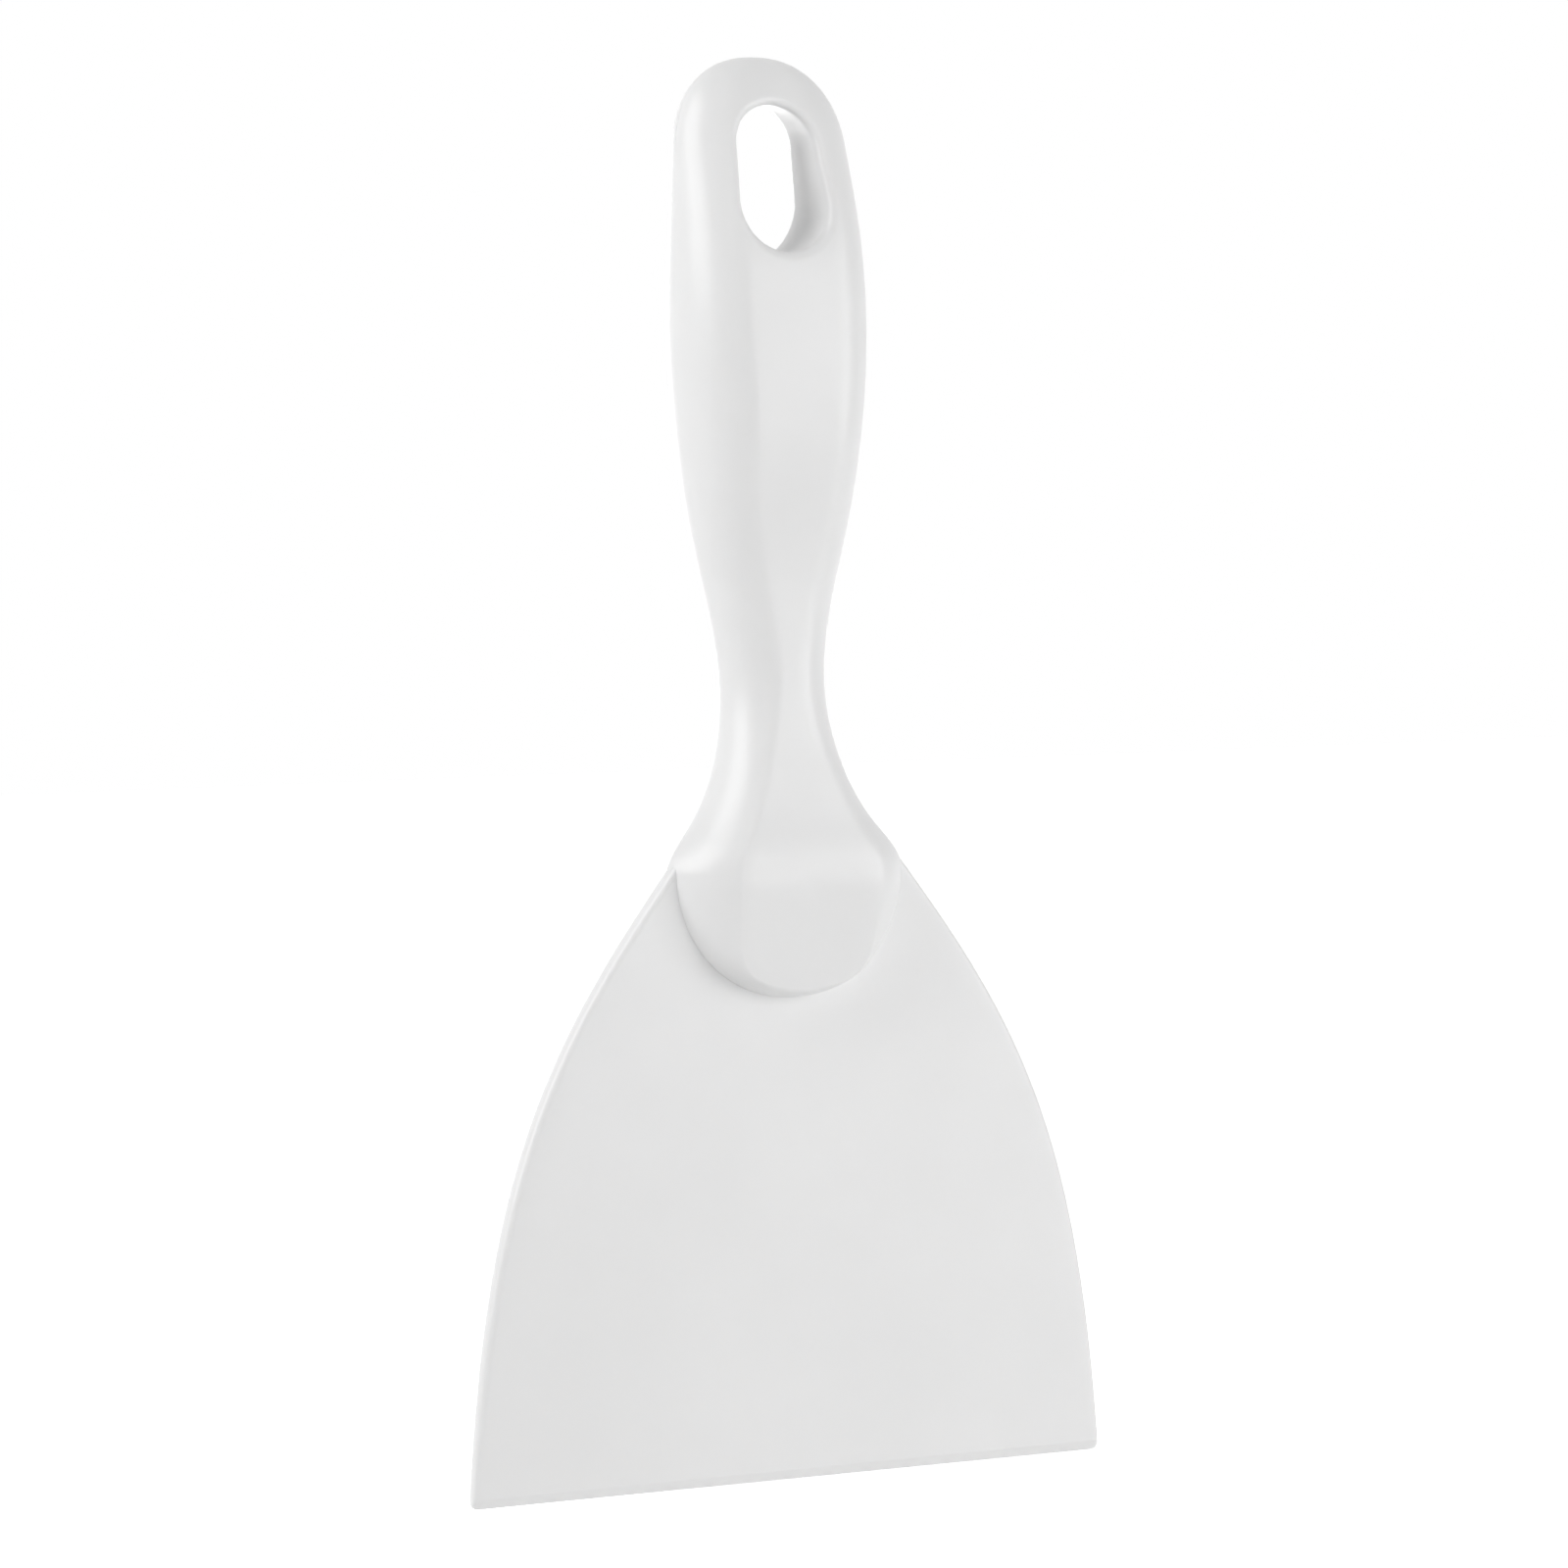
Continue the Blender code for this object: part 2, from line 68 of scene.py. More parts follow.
# Handle, with heights above the shoulders and depths in front of and behind the blade's middle plane
HANDLE_RISE = 0.1171
WAIST_RISE = 0.0275
WAIST_WIDTH = 0.0158
WAIST_FRONT = 0.0027
WAIST_BACK = 0.0106
WAIST_FLAT_WIDTH = 0.0022
GRIP_RISE = 0.0785
GRIP_WIDTH = 0.0296
GRIP_FRONT = 0.00585
GRIP_BACK = 0.0139
GRIP_FLAT_WIDTH = 0.0133
CROWN_HEIGHT = 0.013
CROWN_WIDTH = 0.0268
CROWN_FRONT = 0.0005
CROWN_BACK = 0.0121
CROWN_FLAT_WIDTH = 0.0114
CROWN_SQUARENESS = 2.3  # of the rounded end as seen from the front, where 2 makes it an ellipse
CROWN_THINNING = 4  # the higher, the later the handle thins towards its very top

# Foot of the handle: its cheeks cover the blade's shoulders, and its round laps the blade's faces
CHEEK_INSET = 0.00035
LAP_INSET = 0.00095
LAP_FRONT = 0.0083
LAP_TIP_FRONT = 0.0059
LAP_BACK = 0.0088
LAP_TIP_BACK = 0.0076
LAP_FLAT_WIDTH = 0.0218
LAP_RIM_WIDTH = 0.0016  # of the slope from panel to rim at the lap's lowest point
LAP_CORNER_SHARPNESS = 8  # of the panels' corners, where their sides turn in along the rim
FOOT_CREASE = 0.35  # how sharply the panels are set off from the sides at the foot, 0 for not at all
FOOT_SLANT = 0.75  # how straight the sides slant away from them there, 0 for not at all
FOOT_FADE = 0.008  # height above the shoulders over which both fade out
NECK_FRONT = 0.0083
RAMP_DROP = 0.0014
RAMP_RISE = 0.002
RAMP_SOFTNESS = 0.0009  # half the height over which the ramp's two bends are eased

# Hang hole
HOLE_TOP_WALL = 0.0067
HOLE_TOP_RADIUS = 0.0067
HOLE_BOTTOM_RADIUS = 0.0074
HOLE_CENTRE_SPAN = 0.008
HOLE_TAPER = 0.0009
HOLE_FRONT_ROUND = 0.0014
HOLE_BACK_ROUND = 0.0026
HOOK_DEPTH = 0.0062

OVERALL_HEIGHT = SHOULDER_HEIGHT + HANDLE_RISE
HOOK_HEIGHT = OVERALL_HEIGHT - HOLE_TOP_WALL
HOLE_TOP_CENTRE = HOOK_HEIGHT - HOLE_TOP_RADIUS
HOLE_BOTTOM_CENTRE = HOLE_TOP_CENTRE - HOLE_CENTRE_SPAN
CROWN_BASE = OVERALL_HEIGHT - CROWN_HEIGHT
CHEEK_WIDTH = SHOULDER_WIDTH - 2 * CHEEK_INSET
LAP_RADIUS = SHOULDER_WIDTH / 2 - LAP_INSET
RAMP_FOOT = SHOULDER_HEIGHT - RAMP_DROP
RAMP_TOP = SHOULDER_HEIGHT + RAMP_RISE

# Where the handle's mesh opens round the hole, and the share of the hole's outline that faces down to there
COLLAR_DROP = 2.5 * HOLE_BACK_ROUND
COLLAR_HEIGHT = HOLE_BOTTOM_CENTRE - HOLE_BOTTOM_RADIUS - COLLAR_DROP
COLLAR_SHARE = 0.17

# How finely the faces are cut
BLADE_ROWS = 224
RING_POINTS = 96  # round the blade, a quarter of them on each side and on each face
FLAT_STEPS = 6
LAP_SIDE_STEPS = 18
CHEEK_STEPS = 8
NECK_STEPS = 120
NECK_CROWDING = 1.3  # 1 spaces them evenly, more crowds them towards the foot
LAP_STEPS = 44
LAP_WALL_STEPS = 6
RIM_STEPS = 10
SPREAD_STEPS = 26
SIDE_RAYS = 96
HOLE_WALL_STEPS = 8
EASING_STEPS = 13
FINE_STEPS = 400  # of a line that is measured before points are spaced along it
RIM_COLUMN = FLAT_STEPS + LAP_SIDE_STEPS  # of the columns that columns() returns, the lap's rim
HANDLE_MERGE = 2e-7  # distance within which points of the handle become one
BLADE_MERGE = 1e-6
LEAST_WIDTH = 1e-9  # what a width of nothing counts as where it divides

# Plastic: its colour, its gloss, its clearness to light, and the waves and grain of its surface
PLASTIC_COLOR = (0.8, 0.8, 0.8)
BLADE_CLOUDS = 45.0  # noise scale of its clouds and waves
BLADE_GRAIN = 2400.0  # noise scale of its grain
HANDLE_CLOUDS = 60.0
HANDLE_GRAIN = 2600.0
DARK_CLOUD = 0.985  # the colour in its darkest and palest clouds, where 1 is the colour itself
PALE_CLOUD = 1.012
GLOSS_FINENESS = 2.6  # scale of the uneven gloss, where 1 is that of the clouding
GLOSSIEST = 0.28  # roughness where the gloss is strongest, and where it is weakest
DULLEST = 0.36
PLASTIC_IOR = 1.49
CLEARNESS = 0.2  # share of the light that wanders under the surface
CLEAR_DEPTH = 0.0015  # how far it wanders, and how far each colour does next to that
CLEAR_COLORS = (1.0, 0.95, 0.9)
GRAIN_STRENGTH = 0.12
GRAIN_DEPTH = 0.00002
WAVE_STRENGTH = 0.25
WAVE_DEPTH = 0.0001

# Camera, at the photograph's viewing angle
LENS = 135.135
SENSOR_WIDTH = 36.0
CAMERA_PLACE = (-0.3847, -0.7612, -0.0511)
CAMERA_TURN = tuple(math.radians(angle) for angle in (86.8314, 0.6293, -27.0326))

# Lamps: name, direction from the part round from the front and up (degrees), distance, width, height, watts
LAMPS = (
    ("left softbox", -88.0, 34.0, 1.4, 1.0, 1.3, 15.3),
    ("right softbox", 42.0, 7.0, 1.4, 1.0, 0.9, 9.9),
    ("back softbox", 165.0, -2.0, 1.4, 1.1, 0.5, 4.0),
)
LIT_POINT = Vector((0.0, 0.0, -0.1))
AMBIENT = 0.3  # even light from all round, where 1 is the white of the background
FLOOR_COLOR = (0.9, 0.9, 0.9)
FLOOR_ROUGHNESS = 0.8
FLOOR_GLOW = 0.8  # light of its own that the floor gives off where it is seen
FLOOR_REACH = 6.0
FLOOR_DROP = 0.25  # below the scraping edge

Section = namedtuple("Section", "height half_width front back half_flat")


def between(low, high, share):
    return low + (high - low) * share


def place(across, depth, height):
    """Points of the part's frame, one row each."""
    return np.stack([across, depth - HOOK_DEPTH, height - HOOK_HEIGHT], axis=-1)


def blend(lower, upper, shares):
    """A section between two others, each of its sizes at its own share of the way."""
    return Section(*(between(low, high, share) for low, high, share in zip(lower, upper, shares)))


def handle_sections():
    """The handle's sections from the shoulders to the base of its crown."""
    waist_height = SHOULDER_HEIGHT + WAIST_RISE
    grip_height = SHOULDER_HEIGHT + GRIP_RISE
    foot = Section(SHOULDER_HEIGHT, CHEEK_WIDTH / 2, NECK_FRONT, LAP_BACK, LAP_FLAT_WIDTH / 2)
    waist = Section(waist_height, WAIST_WIDTH / 2, WAIST_FRONT, WAIST_BACK, WAIST_FLAT_WIDTH / 2)
    grip = Section(grip_height, GRIP_WIDTH / 2, GRIP_FRONT, GRIP_BACK, GRIP_FLAT_WIDTH / 2)
    crown = Section(CROWN_BASE, CROWN_WIDTH / 2, CROWN_FRONT, CROWN_BACK, CROWN_FLAT_WIDTH / 2)
    return [
        foot,
        blend(foot, waist, (0.24, 0.405, 0.27, 0.11, 0.33)),
        blend(foot, waist, (0.49, 0.783, 0.6, 0.33, 0.66)),
        blend(foot, waist, (0.75, 0.96, 0.866, 0.67, 0.88)),
        waist,
        blend(waist, grip, (0.2, 0.19, 0.0, 0.39, 0.23)),
        blend(waist, grip, (0.43, 0.565, 0.4, 0.74, 0.645)),
        blend(waist, grip, (0.7, 0.855, 1.02, 1.06, 0.875)),
        grip,
        blend(grip, crown, (0.52, 0.27, 0.35, 0.67, 0.1)),
        crown,
    ]


def spline_through(knots, values):
    """A smooth cubic curve through the knots, level at the first one and free at the last."""
    knots = np.array(knots)
    values = np.array(values)
    steps = np.diff(knots)
    rates = np.diff(values) / steps
    count = len(knots)
    matrix = np.zeros((count, count))
    right = np.zeros(count)
    matrix[0, 0] = 1.0
    matrix[-1, -2:] = (1.0, 2.0)
    right[-1] = 3 * rates[-1]
    for index in range(1, count - 1):
        before, after = steps[index - 1], steps[index]
        matrix[index, index - 1 : index + 2] = (after, 2 * (before + after), before)
        right[index] = 3 * (after * rates[index - 1] + before * rates[index])
    slopes = np.linalg.solve(matrix, right)

    def curve(height):
        height = np.maximum(height, knots[0])
        index = np.clip(np.searchsorted(knots, height) - 1, 0, count - 2)
        step = steps[index]
        share = (height - knots[index]) / step
        inside = (
            values[index] * (1 + 2 * share) * (1 - share) ** 2
            + slopes[index] * step * share * (1 - share) ** 2
            + values[index + 1] * share**2 * (3 - 2 * share)
            + slopes[index + 1] * step * share**2 * (share - 1)
        )
        beyond = values[-1] + slopes[-1] * (height - knots[-1])
        return np.where(height > knots[-1], beyond, inside)

    return curve


SECTIONS = handle_sections()
HEIGHTS = [section.height for section in SECTIONS]
half_width_curve = spline_through(HEIGHTS, [section.half_width for section in SECTIONS])
front_curve = spline_through(HEIGHTS, [-section.front for section in SECTIONS])
back_curve = spline_through(HEIGHTS, [section.back for section in SECTIONS])
flat_curve = spline_through(HEIGHTS, [section.half_flat for section in SECTIONS])


def crown_share(height):
    """0 below the crown, 1 at the very top of the handle."""
    return np.clip((height - CROWN_BASE) / CROWN_HEIGHT, 0.0, 1.0)


def half_width_at(height):
    closing = (1 - crown_share(height) ** CROWN_SQUARENESS) ** (1 / CROWN_SQUARENESS)
    return half_width_curve(height) * closing


def creased_front_at(height):
    """The front face on the centre line, with plain bends at the foot and the top of the ramp."""
    lap = -between(LAP_FRONT, LAP_TIP_FRONT, (RAMP_FOOT - height) / (LAP_RADIUS - RAMP_DROP))
    ramp = between(-LAP_FRONT, front_curve(RAMP_TOP), (height - RAMP_FOOT) / (RAMP_TOP - RAMP_FOOT))
    above = np.where(height >= RAMP_TOP, front_curve(height), ramp)
    return np.where(height <= RAMP_FOOT, lap, above)


def front_at(height):
    """The front face on the centre line with its bends eased: the mean over a short height."""
    shifts = np.linspace(-RAMP_SOFTNESS, RAMP_SOFTNESS, EASING_STEPS)
    return np.mean([creased_front_at(height + shift) for shift in shifts], axis=0)


def back_at(height):
    lap = between(LAP_BACK, LAP_TIP_BACK, (SHOULDER_HEIGHT - height) / LAP_RADIUS)
    return np.where(height >= SHOULDER_HEIGHT, back_curve(height), lap)


def flat_at(height):
    """Half width of the handle's nearly flat panels."""
    return flat_curve(height) * half_width_at(height) / half_width_curve(height)


def past_panel(across, height):
    """How far a place is past the panel's edge towards the side of the handle, from 0 to 1."""
    flat = flat_at(height)
    side = np.maximum(half_width_at(height) - flat, LEAST_WIDTH)
    return np.clip((np.abs(across) - flat) / side, 0.0, 1.0)


def rounded_off(past, foot):
    """The share of the half thickness that is left: a slant at foot 1, a quarter ellipse at foot 0."""
    return (1 - past ** (2 - FOOT_CREASE * foot)) ** (1 / (2 - FOOT_SLANT * foot))


def roundness(across, height):
    """How much of its full half thickness the handle keeps at a distance from its centre line."""
    above = np.maximum(height - SHOULDER_HEIGHT, 0.0)
    return rounded_off(past_panel(across, height), np.exp(-((above / FOOT_FADE) ** 2)))


def handle_depth(across, height, side):
    """Depth of the handle's surface, in front (side -1) or behind (side 1)."""
    front, back = front_at(height), back_at(height)
    half = (back - front) / 2 * np.sqrt(1 - crown_share(height) ** CROWN_THINNING)
    return (front + back) / 2 + side * half * roundness(across, height)


class HalfMesh:
    """Patches of the right half of a shape, which are mirrored and merged into one closed mesh."""

    def __init__(self):
        self.patches = []

    def add(self, points):
        self.patches.append(points)

    def finished(self, name):
        mesh = bmesh.new()
        for points in self.patches:
            for sign in (1.0, -1.0):
                self.lay(mesh, points * (sign, 1.0, 1.0))
        bmesh.ops.remove_doubles(mesh, verts=mesh.verts, dist=HANDLE_MERGE)
        bmesh.ops.dissolve_degenerate(mesh, edges=mesh.edges, dist=HANDLE_MERGE)
        bmesh.ops.recalc_face_normals(mesh, faces=mesh.faces)
        data = bpy.data.meshes.new(name)
        mesh.to_mesh(data)
        mesh.free()
        data.shade_smooth()
        made = bpy.data.objects.new(name, data)
        bpy.context.scene.collection.objects.link(made)
        return made

    @staticmethod
    def lay(mesh, points):
        """Quads over one grid of points."""
        rows = [[mesh.verts.new(point) for point in row] for row in points]
        for lower, upper in zip(rows, rows[1:]):
            for left in range(len(lower) - 1):
                corners = (lower[left], lower[left + 1], upper[left + 1], upper[left])
                mesh.faces.new(corners)


def lap_column():
    """The column of points that leaves the neck for the rim of the lap."""
    flat = LAP_FLAT_WIDTH / 2
    return 1 + math.asin((LAP_RADIUS - flat) / (CHEEK_WIDTH / 2 - flat)) * 2 / math.pi


def columns():
    """Shares of the way from the centre line over the flat (up to 1) and round the side (up to 2)."""
    flat = np.linspace(0, 1, FLAT_STEPS, endpoint=False)
    lap = np.linspace(1, lap_column(), LAP_SIDE_STEPS, endpoint=False)
    return np.concatenate([flat, lap, np.linspace(lap_column(), 2, CHEEK_STEPS + 1)])


def across_at(column, height):
    """Distance from the centre line of one column of points."""
    flat = flat_at(height)
    side = flat + (half_width_at(height) - flat) * np.sin((column - 1) * math.pi / 2)
    return np.where(column <= 1, flat * column, side)


def neck_patch(side):
    """The neck and the grip, from the shoulders up to where the mesh opens round the hole."""
    shares = np.linspace(0, 1, NECK_STEPS + 1) ** NECK_CROWDING
    height, column = np.meshgrid(between(SHOULDER_HEIGHT, COLLAR_HEIGHT, shares), columns(), indexing="ij")
    across = across_at(column, height)
    return place(across, handle_depth(across, height, side), height)


def panel_reach(turn):
    """How far the lap's panel runs from the centre: to its upright edges, which turn in along the rim."""
    side = np.cos(turn) / (LAP_FLAT_WIDTH / 2)
    rim = 1 / (LAP_RADIUS - LAP_RIM_WIDTH)
    corner = side**LAP_CORNER_SHARPNESS + np.sin(turn) * rim**LAP_CORNER_SHARPNESS
    return corner ** (-1 / LAP_CORNER_SHARPNESS)


def lap_face(side):
    """One face of the lap: each column of the foot's section, turned down round the lap's centre."""
    turn, column = np.meshgrid(
        np.linspace(0, math.pi / 2, LAP_STEPS + 1), columns()[: RIM_COLUMN + 1], indexing="ij"
    )
    panel = LAP_FLAT_WIDTH / 2
    across = across_at(column, SHOULDER_HEIGHT)
    slope_share = np.maximum(across - panel, 0.0) / (LAP_RADIUS - panel)
    radius = between(np.minimum(column, 1) * panel_reach(turn), LAP_RADIUS, slope_share)
    height = SHOULDER_HEIGHT - radius * np.sin(turn)
    front, back = front_at(height), back_at(height)
    kept = rounded_off(past_panel(across, SHOULDER_HEIGHT), np.cos(turn) ** 2)
    return place(radius * np.cos(turn), (front + back) / 2 + side * (back - front) / 2 * kept, height)


def lap_patches():
    """Both round faces of the lap, and its wall, which runs on through the blade."""
    faces = [lap_face(side) for side in (-1, 1)]
    shares = np.linspace(0, 1, LAP_WALL_STEPS + 1)[:, None, None]
    wall = between(faces[0][:, -1], faces[1][:, -1], shares)
    return faces + [wall]


def cheek_patch():
    """The underside of the cheeks, which stand out over the blade's shoulders beyond the lap."""
    outer = columns()[RIM_COLUMN:]
    height = np.full(len(outer), SHOULDER_HEIGHT)
    across = across_at(outer, height)
    rows = [place(across, handle_depth(across, height, side), height) for side in (-1, 1)]
    shares = np.linspace(0, 1, LAP_WALL_STEPS + 1)[:, None, None]
    return between(rows[0], rows[1], shares)


def lengths_along(points):
    """How far along a fine line of points each of them lies."""
    return np.concatenate([[0.0], np.cumsum(np.linalg.norm(np.diff(points, axis=0), axis=1))])


def points_at(wanted, lengths, points):
    """Points at the wanted lengths along a line."""
    return np.stack([np.interp(wanted, lengths, points[:, axis]) for axis in (0, 1)], axis=-1)


def handle_outline():
    """The side of the handle as seen from the front, from the mesh's opening up to the very top."""
    turn = np.linspace(0, math.pi / 2, FINE_STEPS)
    rise = np.concatenate([
        np.linspace(COLLAR_HEIGHT, CROWN_BASE, FINE_STEPS, endpoint=False),
        CROWN_BASE + CROWN_HEIGHT * np.sin(turn),
    ])
    return np.stack([half_width_at(rise), rise], axis=-1)


def ray_ends():
    """The points that the rays run out to: along the mesh's opening below the hole, then up the side."""
    columns_below = columns()
    height = np.full(len(columns_below), COLLAR_HEIGHT)
    opening = np.stack([across_at(columns_below, height), height], axis=-1)
    edge = handle_outline()
    lengths = lengths_along(edge)
    side = points_at(np.linspace(0, lengths[-1], SIDE_RAYS + 1), lengths, edge)
    return np.concatenate([opening, side[1:]])


def hole_line():
    """The right half of the hole's outline as fine points with their outward directions."""
    lean = math.asin((HOLE_BOTTOM_RADIUS - HOLE_TOP_RADIUS) / HOLE_CENTRE_SPAN)
    low = np.linspace(-math.pi / 2, lean, FINE_STEPS)
    high = np.linspace(lean, math.pi / 2, FINE_STEPS)
    outward = np.concatenate([low, high])
    radius = np.repeat([HOLE_BOTTOM_RADIUS, HOLE_TOP_RADIUS], FINE_STEPS)
    centre = np.repeat([HOLE_BOTTOM_CENTRE, HOLE_TOP_CENTRE], FINE_STEPS)
    points = np.stack([radius * np.cos(outward), centre + radius * np.sin(outward)], axis=-1)
    return points, outward


def ray_starts():
    """For each ray, its point on the hole's outline and the outward direction there."""
    points, outward = hole_line()
    lengths = lengths_along(points)
    corner = COLLAR_SHARE * lengths[-1]
    low = np.linspace(0, corner, len(columns()))
    high = np.linspace(corner, lengths[-1], SIDE_RAYS + 1)[1:]
    wanted = np.concatenate([low, high])
    start = points_at(wanted, lengths, points)
    turn = np.interp(wanted, lengths, outward)
    return start, np.stack([np.cos(turn), np.sin(turn)], axis=-1)


def toward_side(end):
    """How far to the side each ray runs: 0 straight down, 1 to the side of the handle or above."""
    shares = np.clip(end[:, 0] / half_width_at(np.full(len(end), COLLAR_HEIGHT)), 0, 1)
    shares[len(columns()) :] = 1.0
    return shares


def crown_face(side, rim_round):
    """One face round the hang hole: the rounding of its rim, then rows that spread out along the rays."""
    start, outward = ray_starts()
    end = ray_ends()
    rows = []
    for share in np.linspace(0, 1, RIM_STEPS + 1):
        turn = share * math.pi / 2
        flat = start + outward * (side * HOLE_TAPER / 2 + rim_round * (1 - math.cos(turn)))
        depth = handle_depth(flat[:, 0], flat[:, 1], side) - side * rim_round * (1 - math.sin(turn))
        rows.append(place(flat[:, 0], depth, flat[:, 1]))
    for share in np.linspace(0, 1, SPREAD_STEPS + 1)[1:]:
        eased = between(share, math.sin(share * math.pi / 2), toward_side(end))[:, None]
        point = between(flat, end, eased)
        depth = handle_depth(point[:, 0], point[:, 1], side)
        rows.append(place(point[:, 0], depth, point[:, 1]))
    return np.array(rows)


def crown_patches():
    """The top of the handle: both faces round the hang hole, and the wall of the hole."""
    front = crown_face(-1, HOLE_FRONT_ROUND)
    back = crown_face(1, HOLE_BACK_ROUND)
    shares = np.linspace(0, 1, HOLE_WALL_STEPS + 1)[:, None, None]
    return [front, back, between(front[0], back[0], shares)]


def make_handle(material):
    half = HalfMesh()
    for side in (-1, 1):
        half.add(neck_patch(side))
    for patch in lap_patches() + [cheek_patch()] + crown_patches():
        half.add(patch)
    handle = half.finished("handle_moulding")
    handle.data.materials.append(material)
    return handle


class Field:
    """A socket of a node tree that can be used in sums, as a number can."""

    def __init__(self, tree, socket):
        self.tree = tree
        self.socket = socket

    def math(self, operation, *others):
        node = self.tree.nodes.new("ShaderNodeMath")
        node.operation = operation
        for socket, value in zip(node.inputs, (self, *others)):
            if isinstance(value, Field):
                self.tree.links.new(value.socket, socket)
            else:
                socket.default_value = value
        return Field(self.tree, node.outputs[0])

    def __add__(self, other):
        return self.math("ADD", other)

    def __sub__(self, other):
        return self.math("SUBTRACT", other)

    def __mul__(self, other):
        return self.math("MULTIPLY", other)

    def __truediv__(self, other):
        return self.math("DIVIDE", other)

    def __pow__(self, other):
        return self.math("POWER", other)

    def clamped(self, low=0.0, high=1.0):
        return self.math("MAXIMUM", low).math("MINIMUM", high)


def group_input(tree, interface_names):
    """Adds a mesh output and the named number inputs to a node group, and returns the inputs as fields."""
    for name in interface_names:
        tree.interface.new_socket(name=name, in_out="INPUT", socket_type="NodeSocketFloat")
    tree.interface.new_socket(name="Mesh", in_out="OUTPUT", socket_type="NodeSocketGeometry")
    node = tree.nodes.new("NodeGroupInput")
    return {name: Field(tree, node.outputs[name]) for name in interface_names}


BLADE_SIZES = {
    "Edge Width": BLADE_WIDTH,
    "Shoulder Width": SHOULDER_WIDTH,
    "Shoulder Height": SHOULDER_HEIGHT,
    "Corner Lean": CORNER_LEAN,
    "Shoulder Lean": SHOULDER_LEAN,
    "Corner Reach": CORNER_REACH,
    "Shoulder Reach": SHOULDER_REACH,
    "Plate Thickness": PLATE_THICKNESS,
    "Taper Height": TAPER_HEIGHT,
    "Edge Thickness": EDGE_THICKNESS,
    "Tip Thickness": TIP_THICKNESS,
    "Bevel Height": BEVEL_HEIGHT,
    "Corner Round": CORNER_ROUND,
    "Side Round": SIDE_ROUND,
    "Side Squareness": SIDE_SQUARENESS,
    "Buried Shoulder": BURIED_SHOULDER,
}


def signed_power(value, power):
    """The value's size raised to a power, with its own sign."""
    return value.math("ABSOLUTE") ** power * value.math("SIGN")


def bezier(share, points):
    """A cubic Bezier curve's value at a share of its length, from its four control values."""
    rest = share * -1 + 1
    return (
        rest**3 * points[0]
        + rest**2 * share * points[1] * 3
        + rest * share**2 * points[2] * 3
        + share**3 * points[3]
    )


def ring_grid(tree):
    """A flat grid to wrap round the blade: its mesh, and the column and row of each of its points."""
    grid = tree.nodes.new("GeometryNodeMeshGrid")
    grid.inputs["Vertices X"].default_value = RING_POINTS + 1
    grid.inputs["Vertices Y"].default_value = BLADE_ROWS + 1
    grid.inputs["Size X"].default_value = 1.0
    grid.inputs["Size Y"].default_value = 1.0
    index = Field(tree, tree.nodes.new("GeometryNodeInputIndex").outputs[0])
    column = (index / (BLADE_ROWS + 1)).math("FLOOR")
    row = index - column * (BLADE_ROWS + 1)
    return grid.outputs["Mesh"], column, row


def side_share(size, row):
    """How far along the side's curve each row lies: crowded towards the edge, and on past the shoulder."""
    beyond = size["Buried Shoulder"] / (size["Shoulder Reach"] * size["Shoulder Lean"].math("COSINE") * 3)
    return ((row - 1) / (BLADE_ROWS - 2)).clamped() ** 2 * (beyond + 1)


def side_curve(size, share):
    """The blade's side as two fields: distance from the centre line, and height."""
    start_lean, end_lean = size["Corner Lean"], size["Shoulder Lean"]
    start_reach, end_reach = size["Corner Reach"], size["Shoulder Reach"]
    corner, shoulder = size["Edge Width"] / 2, size["Shoulder Width"] / 2
    side = bezier(share, (
        corner,
        corner - start_reach * start_lean.math("SINE"),
        shoulder + end_reach * end_lean.math("SINE"),
        shoulder,
    ))
    height = bezier(share, (
        size["Shoulder Height"] * 0,
        start_reach * start_lean.math("COSINE"),
        size["Shoulder Height"] - end_reach * end_lean.math("COSINE"),
        size["Shoulder Height"],
    ))
    return side, height


def corner_rounded(size, side, height):
    """Half the blade's width, with its corners rounded off at the scraping edge."""
    radius = size["Corner Round"]
    into_corner = (radius - height).clamped()
    return side - radius + (radius * radius - into_corner * into_corner).math("SQRT")


def blade_thickness(size, height):
    """A taper towards the scraping edge, and a bevel along it."""
    bevel = (height / size["Bevel Height"]).clamped()
    taper = ((height - size["Bevel Height"]) / (size["Taper Height"] - size["Bevel Height"])).clamped()
    body = taper * (size["Plate Thickness"] - size["Edge Thickness"]) + size["Edge Thickness"]
    return bevel * (body - size["Tip Thickness"]) + size["Tip Thickness"]


def ring_point(size, column, half_width, thickness):
    """Place and depth on the section, once round it: right side, back, left side, front."""
    turn = column * (4 / RING_POINTS)
    along = (turn - 1).clamped() * -2 + 1 + (turn - 3).clamped() * 2
    angle = (turn.clamped() + (turn - 2).clamped()) * math.pi - math.pi / 2
    power = size["Side Squareness"].math("DIVIDE", 2.0) ** -1
    round_side = signed_power(angle.math("COSINE"), power) * size["Side Round"]
    across = along * (half_width - size["Side Round"]) + round_side
    return across, signed_power(angle.math("SINE"), power) * thickness / 2


